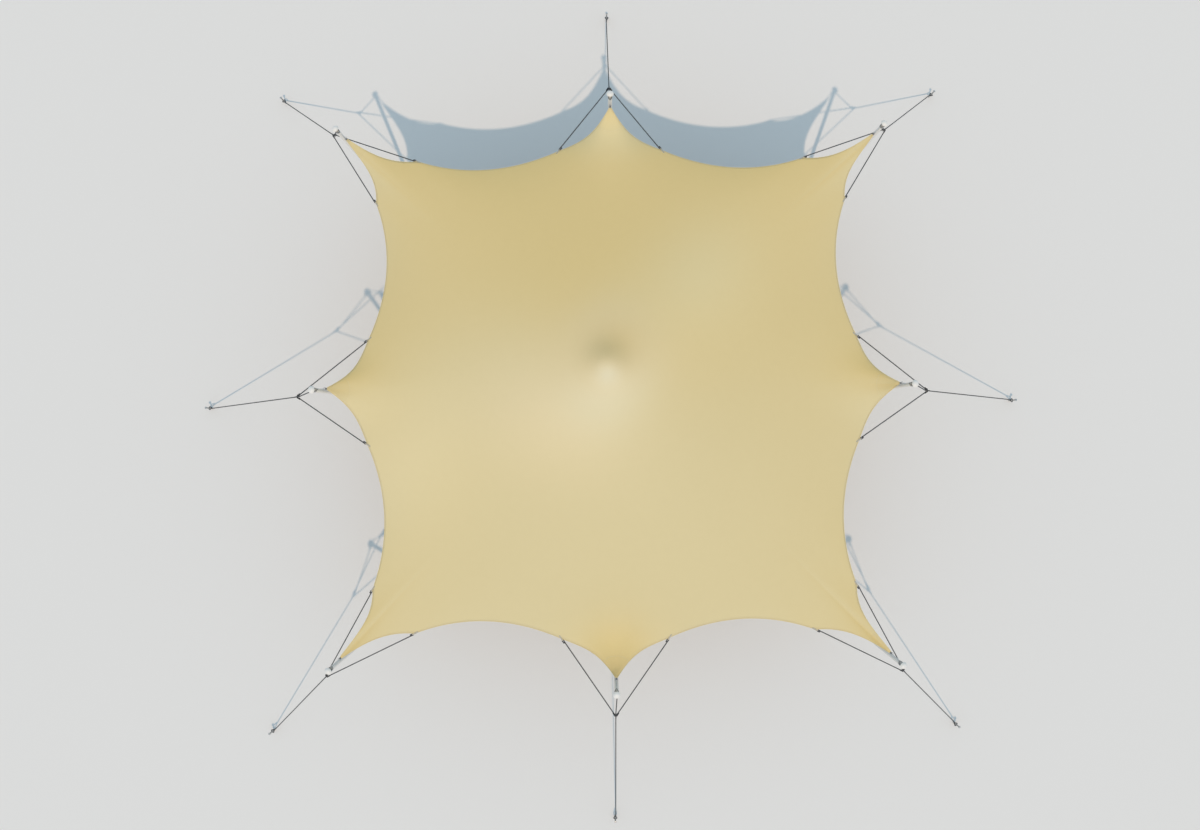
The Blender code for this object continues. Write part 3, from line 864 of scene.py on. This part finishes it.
def bolt(bm, place, size, height, coat):
    """A six-sided bolt head with eased edges."""
    part = new_mesh()
    bmesh.ops.create_cone(part, cap_ends=True, cap_tris=False, segments=6, radius1=size, radius2=size,
                          depth=height)
    bmesh.ops.bevel(part, geom=part.edges[:], offset=size * 0.12, offset_type="OFFSET", segments=2,
                    profile=0.5, affect="EDGES", material=-1)
    add(bm, part, place @ Matrix.Translation((0, 0, height / 2)), coat)


def grow_pole(spot):
    """Tube in local height along the lean, over its ball and plate."""
    bm = new_mesh()
    length = (spot["cap"] - spot["knuckle"]).length - CAP_SET_BACK
    joint = JOINT_SHARE * length
    r = POLE_RADIUS
    tube = [(0.0, 0.034), (r, 0.034), (r + 0.0065, 0.040), (r + 0.0065, 0.120), (r + 0.0045, 0.124),
            (r, 0.125), (r, joint), (r + 0.0028, joint + 0.004), (r + 0.0028, joint + JOINT_LENGTH),
            (r, joint + JOINT_LENGTH + 0.004), (r, length - 0.006), (r - 0.002, length - 0.001), (0.0, length - 0.001)]
    turn(bm, tube, aim(spot["knuckle"], spot["lean"]))
    out = (spot["across"] - spot["lean"] * spot["across"].dot(spot["lean"])).normalized()
    snap = spot["knuckle"] + spot["lean"] * (joint + JOINT_LENGTH / 2) + out * (r + 0.001)
    turn(bm, sphere_outline(0.006, -30, 90, 6), aim(snap, out), 16)
    clamp = spot["knuckle"] + spot["lean"] * 0.082 + out * (r + 0.006)
    bolt(bm, aim(clamp, out), 0.009, 0.007, 1)
    turn(bm, sphere_outline(BALL_RADIUS), Matrix.Translation(spot["knuckle"]), coat=1)
    lip = 0.046
    plate = [(0.0, 0.0), (PLATE_RADIUS - 0.004, 0.0), (PLATE_RADIUS, 0.003), (PLATE_RADIUS, 0.007),
             (PLATE_RADIUS - 0.003, PLATE_THICK), (lip + 0.012, PLATE_THICK), (lip + 0.007, 0.014),
             (lip + 0.004, 0.026), (lip, 0.029), (lip - 0.005, 0.028), (0.0, 0.026)]
    turn(bm, plate, Matrix.Translation(spot["foot"]), 56, coat=1)
    for quarter in range(4):
        angle = math.radians(45 + 90 * quarter)
        seat = spot["foot"] + Vector((math.cos(angle) * 0.079, math.sin(angle) * 0.079, PLATE_THICK - 0.0005))
        bolt(bm, Matrix.Translation(seat), 0.008, 0.006, 1)
    return bm


for name, spot in STATIONS.items():
    settle("leaning_pole_" + name, grow_pole(spot), [TUBE, PLATE], "pole", "pole_" + name)
print("poles lean", round(math.degrees(UP.angle(STATIONS["back"]["lean"])), 1), "degrees at the sides")

# %% [markdown]
# ## Pole caps
# The white caps keep the cloth from tearing on a pole's end, and they are the brightest small things in
# the picture. The outline has a skirt that grips the tube, a rim, a low dome and a small moulding mark in
# the middle, which is why it is an outline and not a flattened ball.

# %% Caps
CAP_RADIUS = 0.054
CAP_RIM = 0.014
CAP_HEIGHT = 0.048


def cap_outline():
    """Half outline of a cap, from the skirt's inside to the moulding mark."""
    points = [(0.0, 0.0004), (POLE_RADIUS + 0.0004, 0.0003), (POLE_RADIUS + 0.0006, -0.013),
              (POLE_RADIUS + 0.0034, -0.013), (POLE_RADIUS + 0.0044, -0.002), (CAP_RADIUS - 0.004, 0.0),
              (CAP_RADIUS, 0.003), (CAP_RADIUS, CAP_RIM - 0.002), (CAP_RADIUS - 0.0015, CAP_RIM),
              (CAP_RADIUS - 0.0035, CAP_RIM + 0.0005)]
    for i in range(1, 9):
        angle = math.pi / 2 * i / 9
        points.append(((CAP_RADIUS - 0.004) * math.cos(angle), CAP_RIM + (CAP_HEIGHT - CAP_RIM) * math.sin(angle)))
    points += [(0.0075, CAP_HEIGHT - 0.0006), (0.0070, CAP_HEIGHT + 0.0006), (0.0050, CAP_HEIGHT + 0.0010),
               (0.0044, CAP_HEIGHT - 0.0004), (0.0, CAP_HEIGHT - 0.0006)]
    return points


for name, spot in STATIONS.items():
    crown = new_mesh()
    turn(crown, cap_outline(), aim(spot["cap"] - spot["lean"] * CAP_SET_BACK, spot["lean"]), 48)
    settle("pole_top_cap_" + name, crown, [CAP_WHITE], "pole_cap", "pole_cap_" + name)
print("caps", round(CAP_RADIUS * 2000), "mm across")

# %% [markdown]
# ## Tip straps
# A webbing tab is sewn under each tip and holds a flat steel link. A second link stands upright in the
# first, as in a chain, and a webbing loop ties it to the pole just under the cap. Each piece is a closed
# or open path with its own section, so the loops really pass through one another.

# %% Straps
STRAP_DROP = 0.055
BAND = 0.0015
LOOP_REACH = 0.075
LINK_WIRE = 0.0032
LINK_BEND = 0.0105
LINK_TURN = 0.0095
TAB_HALF = 0.013
ROPE_RADIUS = 0.008


def under_cloth(x, y, depth):
    """Point at a depth under the sheet's top."""
    hit = CLOTH_TREE.ray_cast(Vector((x, y, 9.0)), -UP)[0]
    return hit - UP * depth if hit else None


def folded_tab(bm, tip, inward, pull, bar, reach, over, half, thick, coat=0):
    """A band that lies on or under the cloth, runs out round a bar and back beneath itself."""
    runs = [reach * share for share in (1.0, 0.75, 0.5, 0.25)]
    upper, lower = [], []
    for run in runs:
        spot_in = tip + inward * run
        upper.append(under_cloth(spot_in.x, spot_in.y, over))
        lower.append(under_cloth(spot_in.x, spot_in.y, CLOTH_THICK + thick * (1.2 if over < 0 else 3.4)))
    upper, lower = ([point for point in points if point] for points in (upper, lower))
    spot_in = tip + inward * (reach * 0.4)
    rise = CLOTH_TREE.ray_cast(Vector((spot_in.x, spot_in.y, 9.0)), -UP)[1]
    rise = (rise - pull * rise.dot(pull)).normalized()
    near = HEM_RADIUS + thick
    edge_top = tip + UP * (near if over < 0 else -near - CLOTH_THICK / 2)
    edge_low = tip - UP * (near + CLOTH_THICK / 2 + (0.0 if over < 0 else thick * 2.2))
    bend = arc(bar, rise, pull, 0.0, math.pi, 8)
    radius = LINK_WIRE + thick if over > 0 else ROPE_RADIUS + thick
    bend = [bar + (point - bar) * radius for point in bend]
    path = upper + [edge_top] + bend + [edge_low] + lower[::-1][:-1]
    draw(bm, path, half, thick, sides=16, across=pull.cross(rise), flat=0.4, coat=coat)


def grow_strap(spot):
    """Sewn tab, two links and the loop round the pole."""
    bm = new_mesh()
    tip = spot["tip"] - UP * (CLOTH_THICK / 2)
    centre = spot["cap"] - spot["lean"] * STRAP_DROP
    inward = tip - centre
    inward = (inward - spot["lean"] * inward.dot(spot["lean"])).normalized()
    side = spot["lean"].cross(inward)
    bar = centre + inward * LOOP_REACH
    round_pole = POLE_RADIUS + BAND + 0.0006
    round_bar = LINK_WIRE + BAND + 0.0003
    lift = math.acos((round_pole - round_bar) / LOOP_REACH)
    path = arc(centre, inward * round_pole, side * round_pole, lift, WAVE - lift, 26)
    path += arc(bar, inward * round_bar, side * round_bar, -lift, lift, 8)
    draw(bm, path, 0.0105, BAND, sides=16, across=spot["lean"], flat=0.4, closed=True)
    pull = (bar - tip).normalized()
    upright = pull.cross(spot["across"]).normalized()
    flat_link = tip + pull * 0.0365
    draw(bm, oval(flat_link, spot["across"], pull, 0.0095, LINK_BEND), LINK_WIRE, sides=10,
         across=pull.cross(spot["across"]), closed=True, coat=1)
    start = flat_link + pull * (LINK_BEND - 2 * LINK_WIRE)
    half = ((bar - start).length - 2 * LINK_TURN) / 2
    draw(bm, oval(start + pull * (half + LINK_TURN), pull, upright, half, LINK_TURN), LINK_WIRE,
         sides=10, across=pull.cross(upright), closed=True, coat=1)
    inside = -spot["outward"]
    folded_tab(bm, tip, inside, pull, flat_link - pull * LINK_BEND, 0.11, CLOTH_THICK + 3.0 * BAND, TAB_HALF, BAND)
    return bm


for name, spot in STATIONS.items():
    settle("tip_strap_webbing_" + name, grow_strap(spot), [WEBBING, STEEL], "tip_strap", "tip_strap_" + name)
print("straps made")

# %% [markdown]
# ## Guys
# Every guy is one rope system: a line from the pole top down to a steel ring, a line from the ring to the
# stake, and two lines from the ring back to the hem. A rope end is turned round what it holds and bound to
# itself with twine. The path of such an eye is written once, and each line joins two of them.

# %% Rope ends
EYE_TAIL = (0.020, 0.010, 0.0)
BINDING = 0.0012


def eye(bearing, toward, beside, loop, core):
    """Rope path of an eye from its tail, round what it holds, to the free line; and the line's start."""
    centre = bearing + toward * (loop - ROPE_RADIUS - core)
    neck = loop * 1.9
    spread = math.atan2(ROPE_RADIUS, neck) + math.acos(loop / math.hypot(neck, ROPE_RADIUS))
    throat = centre + toward * neck
    tail = [throat + toward * run - beside * ROPE_RADIUS for run in EYE_TAIL]
    bend = arc(centre, toward * loop, beside * loop, -spread, spread - WAVE, 18)
    free = [throat + toward * run + beside * ROPE_RADIUS for run in (0.0, 0.012, 0.026)]
    return tail + bend + free, throat


def bind(bm, start, toward, beside, length, width, thick):
    """Twine wound round two ropes, or one, with its ends drawn in."""
    turns = 7
    path = [start + toward * (length * i / turns) for i in range(turns + 1)]
    girth = [0.88] + [1.0 if i % 2 else 1.06 for i in range(turns - 1)] + [0.88]
    draw(bm, path, width, thick, sides=14, across=beside, girth=girth, coat=1)


def tied(bm, first, second):
    """One line between two eyes, each bound with twine."""
    paths = []
    for bearing, toward, beside, loop, core in (first, second):
        beside = (beside - toward * beside.dot(toward)).normalized()
        path, throat = eye(bearing, toward, beside, loop, core)
        bind(bm, throat + toward * 0.003, toward, beside, 0.015, 2 * ROPE_RADIUS + BINDING, ROPE_RADIUS + BINDING)
        paths.append(path)
    return draw(bm, paths[0] + paths[1][::-1], ROPE_RADIUS, sides=10)


print("an eye has", len(eye(Vector(), UP, Vector((1, 0, 0)), 0.02, 0.006)[0]), "stops")

# %% [markdown]
# ## Where the side guys meet the hem
# A short band of sand webbing is folded over the hem at each guy point, and the rope's eye hangs in its
# fold. The band has to lie on the cloth, so its points are found by shining a ray straight down on it.

# %% Guys, rings and hem tabs
HITCH_DROP = 0.083
SHACKLE_RADIUS = 0.014
SHACKLE_WIRE = 0.0035
RING_RADIUS = 0.024
RING_WIRE = 0.005
GRIP_OUT = 0.030
STAKE_RADIUS = 0.011
STAKE_TILT = math.radians(18.0)
ROPE_ON_STAKE = 0.075
rope_lengths = {}


def stake_lean(spot):
    return (spot["outward"] * math.sin(STAKE_TILT) + UP * math.cos(STAKE_TILT)).normalized()


def grip_end(spot, grip):
    """Where a side guy's rope turns in its hem tab, and the level way towards the ring."""
    level = spot["ring"] - grip
    slope = level.normalized()
    level.z = 0.0
    level.normalize()
    return grip + level * GRIP_OUT + UP * (slope.z * GRIP_OUT - CLOTH_THICK / 2), level, slope


def pole_shackle(spot):
    """Middle of the small shackle on the outer side of a pole's top, and the way it looks."""
    seat = spot["cap"] - spot["lean"] * HITCH_DROP
    out = spot["ring"] - seat
    out = (out - spot["lean"] * out.dot(spot["lean"])).normalized()
    return seat + out * (POLE_RADIUS + SHACKLE_RADIUS + 0.004), out


def grow_steel(spot):
    """The guy ring, and the collar and shackle that hold the top rope to the pole."""
    bm = new_mesh()
    hoop(bm, spot["ring"], spot["ring_axis"], RING_RADIUS, RING_WIRE)
    shackle, out = pole_shackle(spot)
    hoop(bm, shackle, spot["lean"].cross(out), SHACKLE_RADIUS, SHACKLE_WIRE, 28, 10)
    band = [(POLE_RADIUS + 0.0004, -0.009), (POLE_RADIUS + 0.0022, -0.0085), (POLE_RADIUS + 0.0030, -0.006),
            (POLE_RADIUS + 0.0030, 0.006), (POLE_RADIUS + 0.0022, 0.0085), (POLE_RADIUS + 0.0004, 0.009),
            (POLE_RADIUS + 0.0004, -0.009)]
    turn(bm, band, aim(spot["cap"] - spot["lean"] * HITCH_DROP, spot["lean"]))
    ear = new_mesh()
    bmesh.ops.create_cube(ear, size=1.0, matrix=Matrix.Diagonal((0.006, 0.016, 0.014, 1.0)))
    bmesh.ops.bevel(ear, geom=ear.edges[:], offset=0.0012, offset_type="OFFSET", segments=2, profile=0.5,
                    affect="EDGES", material=-1)
    add(bm, ear, aim(spot["cap"] - spot["lean"] * HITCH_DROP + out * (POLE_RADIUS + 0.006), out))
    return bm


def grow_guys(name, spot):
    """All the rope of one station."""
    bm = new_mesh()
    ring, down, axis = spot["ring"], spot["down"], spot["ring_axis"]
    pin = spot["stake"] + stake_lean(spot) * ROPE_ON_STAKE
    low = ring + down * RING_RADIUS
    toward = (pin - low).normalized()
    lengths = [tied(bm, (low, toward, axis, 0.0135, RING_WIRE), (pin, -toward, spot["across"], 0.026, STAKE_RADIUS))]
    shackle, out = pole_shackle(spot)
    top = ring - down * RING_RADIUS
    toward = (shackle - top).normalized()
    high = shackle - toward * SHACKLE_RADIUS
    lengths.append(tied(bm, (top, toward, axis, 0.0135, RING_WIRE), (high, -toward, spot["across"], 0.0135, SHACKLE_WIRE)))
    for grip in spot["grips"]:
        end, level, slope = grip_end(spot, grip)
        hand = 1.0 if (grip - ring).dot(spot["across"]) > 0 else -1.0
        start = ring + (spot["across"] * hand * 0.8 - down * 0.6) * RING_RADIUS
        toward = (end - start).normalized()
        lengths.append(tied(bm, (start, toward, axis, 0.0135, RING_WIRE),
                            (end, -toward, UP.cross(level), 0.012, -ROPE_RADIUS)))
    rope_lengths[name] = sum(lengths)
    return bm


def grow_tabs(spot):
    """The two hem tabs of one station."""
    bm = new_mesh()
    for grip in spot["grips"]:
        end, level, slope = grip_end(spot, grip)
        folded_tab(bm, grip - UP * (CLOTH_THICK / 2), -level, slope, end, 0.055, -0.0016, 0.0115, 0.0012)
    return bm


for name, spot in STATIONS.items():
    settle("guy_ropes_" + name, grow_guys(name, spot), [ROPE, TWINE], "guy", "guy_" + name)
    settle("guy_ring_" + name, grow_steel(spot), [STEEL], "guy", "guy_" + name)
    settle("hem_tabs_" + name, grow_tabs(spot), [TAB_WEBBING], "guy", "guy_" + name)
print("rope for one side", round(rope_lengths["back"], 2), "m, for one corner", round(rope_lengths["back_right"], 2), "m")

# %% [markdown]
# ## Stakes
# A stake is a steel pin with a forged head, driven in so that it leans away from the pull. The spun pin
# runs on under the ground, and a cutting plane trims it level with the floor.

# %% Stakes
STAKE_LENGTH = 0.17


def grow_stake(spot):
    bm = new_mesh()
    r = STAKE_RADIUS
    pin = [(0.0, -0.06), (r, -0.06), (r, STAKE_LENGTH - 0.016), (r + 0.002, STAKE_LENGTH - 0.012),
           (0.0185, STAKE_LENGTH - 0.0105), (0.0200, STAKE_LENGTH - 0.0085), (0.0203, STAKE_LENGTH - 0.002),
           (0.0180, STAKE_LENGTH + 0.0010), (0.0100, STAKE_LENGTH + 0.0022), (0.0, STAKE_LENGTH + 0.0024)]
    turn(bm, pin, aim(spot["stake"], stake_lean(spot)), 32)
    cut = bmesh.ops.bisect_plane(bm, geom=bm.verts[:] + bm.edges[:] + bm.faces[:], dist=1e-6,
                                 plane_co=(0, 0, 0), plane_no=(0, 0, 1), clear_inner=True)["geom_cut"]
    bmesh.ops.contextual_create(bm, geom=[item for item in cut if isinstance(item, bmesh.types.BMEdge)])
    bmesh.ops.recalc_face_normals(bm, faces=bm.faces)
    return bm


for name, spot in STATIONS.items():
    settle("ground_stake_" + name, grow_stake(spot), [STAKE_STEEL], "stake", "stake_" + name)
print("stakes lean", round(math.degrees(STAKE_TILT)), "degrees")

# %% [markdown]
# ## Centre mast
# The mast is two tubes that slide into each other, held by a clamp collar. Its foot is a wide round plate,
# and its head is a moulded dome with the sheet's own curve, so that the cloth lies on it without a crease.
# The dome's outline comes from the same sum as the sheet.

# %% Mast
MAST_RADIUS = 0.038
UPPER_RADIUS = 0.0345
MAST_FOOT_RADIUS = 0.15
MAST_FOOT_THICK = 0.012
HEAD_RIM = 0.02
HEAD_SOCKET = (0.050, 0.07)
HEAD_SHARES = [0.0] + [share for share in RING_SHARES if share < 0.06] + [0.06]
HEAD_EASE = 0.0012


def head_outline():
    """The dome under the cloth, its rolled rim, the flat underside and the socket."""
    points = []
    for share in HEAD_SHARES:
        radius = share * ROUND_REACH
        slope = (film_drop(radius + 0.001) - film_drop(max(0.0, radius - 0.001))) / 0.002 if radius else 0.0
        points.append((radius, film_drop(radius) - CLOTH_THICK * math.hypot(1.0, slope) - HEAD_EASE))
    rim_radius, rim_height = points[-1]
    low = rim_height - HEAD_RIM
    points += [(rim_radius + 0.003, rim_height - 0.004), (rim_radius + 0.004, rim_height - 0.010),
               (rim_radius + 0.002, low + 0.003), (rim_radius - 0.003, low), (rim_radius - 0.014, low + 0.002),
               (HEAD_SOCKET[0] + 0.030, low + 0.004), (HEAD_SOCKET[0] + 0.008, low - 0.002),
               (HEAD_SOCKET[0], low - 0.010), (HEAD_SOCKET[0], low - HEAD_SOCKET[1] + 0.003),
               (HEAD_SOCKET[0] - 0.003, low - HEAD_SOCKET[1]), (0.0, low - HEAD_SOCKET[1])]
    return points, low


outline_points, head_low = head_outline()
dome = new_mesh()
turn(dome, outline_points, Matrix.Translation(PEAK), 72)
for eighth in range(8):
    angle = WAVE * eighth / 8
    outward = Vector((math.cos(angle), math.sin(angle), 0.0))
    web = new_mesh()
    bmesh.ops.create_cube(web, size=1.0, matrix=Matrix.Diagonal((0.17, 0.007, 0.030, 1.0)))
    for vert in web.verts:
        if vert.co.x > 0 and vert.co.z < 0:
            vert.co.z += 0.022
    bmesh.ops.bevel(web, geom=web.edges[:], offset=0.0012, offset_type="OFFSET", segments=2, profile=0.5,
                    affect="EDGES", material=-1)
    seat = Vector((PEAK.x, PEAK.y, PEAK.z + head_low - 0.011)) + outward * (HEAD_SOCKET[0] + 0.082)
    add(dome, web, Matrix.Translation(seat) @ Matrix.Rotation(angle, 4, "Z"))
settle("mast_head_dome", dome, [HEAD_GREY], "centre_head", "centre_pole_head")

mast_top = PEAK.z + head_low - HEAD_SOCKET[1] - 0.0004
split = mast_top * 0.52
r = MAST_RADIUS
tube = [(0.0, MAST_FOOT_THICK + 0.0003), (r, MAST_FOOT_THICK + 0.0003), (r, split - 0.055), (r + 0.007, split - 0.053),
        (r + 0.009, split - 0.050), (r + 0.009, split - 0.003), (r + 0.007, split), (UPPER_RADIUS + 0.0012, split + 0.001),
        (UPPER_RADIUS, split + 0.002), (UPPER_RADIUS, mast_top - 0.012), (r, mast_top - 0.010), (r, mast_top - 0.001),
        (r - 0.001, mast_top), (0.0, mast_top)]
mast = new_mesh()
turn(mast, tube, Matrix.Translation((PEAK.x, PEAK.y, 0.0)), 48)
for height in (split - 0.040, split - 0.014):
    turn_out = aim(Vector((PEAK.x + r + 0.0085, PEAK.y, height)), Vector((1, 0, 0)))
    bolt(mast, turn_out, 0.0065, 0.006, 1)
settle("centre_mast_tube", mast, [TUBE, STEEL], "pole", "centre_pole")

foot = new_mesh()
R = MAST_FOOT_RADIUS
disc = [(0.0, 0.0), (R - 0.004, 0.0), (R, 0.003), (R, MAST_FOOT_THICK - 0.004), (R - 0.004, MAST_FOOT_THICK),
        (r + 0.022, MAST_FOOT_THICK), (r + 0.014, 0.016), (r + 0.009, 0.034), (r + 0.006, 0.036), (r + 0.001, 0.036),
        (r + 0.001, MAST_FOOT_THICK + 0.0001), (0.0, MAST_FOOT_THICK + 0.0001)]
turn(foot, disc, Matrix.Translation((PEAK.x, PEAK.y, 0.0)), 64)
for sixth in range(6):
    angle = WAVE * sixth / 6
    seat = Vector((PEAK.x + math.cos(angle) * 0.122, PEAK.y + math.sin(angle) * 0.122, MAST_FOOT_THICK - 0.0005))
    bolt(foot, Matrix.Translation(seat), 0.010, 0.007, 0)
settle("mast_foot_plate", foot, [PLATE], "centre_foot", "centre_pole_foot")
print("mast", round(mast_top, 2), "m tall under a dome", round(2 * R * 1.6, 2), "m across")

# %% [markdown]
# ## Floor
# A plain pale floor, large enough that its rim stays out of every view.

# %% Floor
FLOOR_SIZE = 150.0
ground = bmesh.new()
bmesh.ops.create_grid(ground, x_segments=1, y_segments=1, size=FLOOR_SIZE)
floor_mesh = bpy.data.meshes.new("floor")
ground.to_mesh(floor_mesh)
ground.free()
floor_mesh.materials.append(Finish("pale_floor", (0.80, 0.80, 0.80), 0.9).material)
floor = bpy.data.objects.new("floor", floor_mesh)
bpy.context.scene.collection.objects.link(floor)
print("floor", 2 * FLOOR_SIZE, "m across")

# %% [markdown]
# ## Closing
# The sheet's area is summed and printed.

# %% Sheet area
sheet_area = sum(face.area for face in canopy.data.polygons)
print("sheet area", round(sheet_area, 2), "m2")
